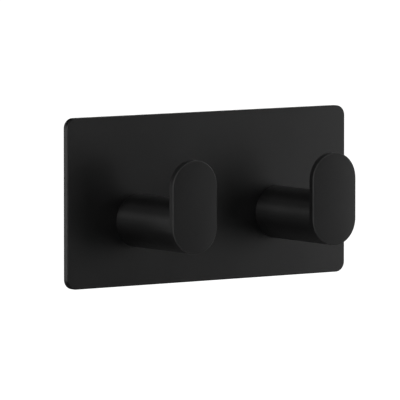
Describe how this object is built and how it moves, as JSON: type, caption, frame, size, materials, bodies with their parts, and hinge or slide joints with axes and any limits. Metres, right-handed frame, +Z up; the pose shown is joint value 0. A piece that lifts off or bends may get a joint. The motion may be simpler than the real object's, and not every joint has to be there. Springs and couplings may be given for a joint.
{
  "type": "double robe hook",
  "caption": "Thin rectangular wall plate with round posts that end in upright oblong end plates, for hanging robes and towels; held by an adhesive pad.",
  "frame": {"origin": "centre of the adhesive pad's back face, which lies on the wall", "axes": "+X along the plate, to the right of a viewer who faces the wall; +Y into the wall, so the posts stand out towards -Y; +Z up"},
  "size_m": [0.1, 0.0322, 0.05],
  "materials": {
    "black_plate": "satin black coating on stainless steel sheet",
    "black_hooks": "satin black coating on turned and cut stainless steel",
    "foam_adhesive": "matt closed-cell foam tape",
    "screw_steel": "plain stainless steel"
  },
  "bodies": {
    "root": {"wall_plate": "black_plate", "adhesive_pad": "foam_adhesive", "left_post": "black_hooks", "right_post": "black_hooks", "left_end_plate": "black_hooks", "right_end_plate": "black_hooks", "left_post_screw": "screw_steel", "right_post_screw": "screw_steel"}
  },
  "joints": []
}
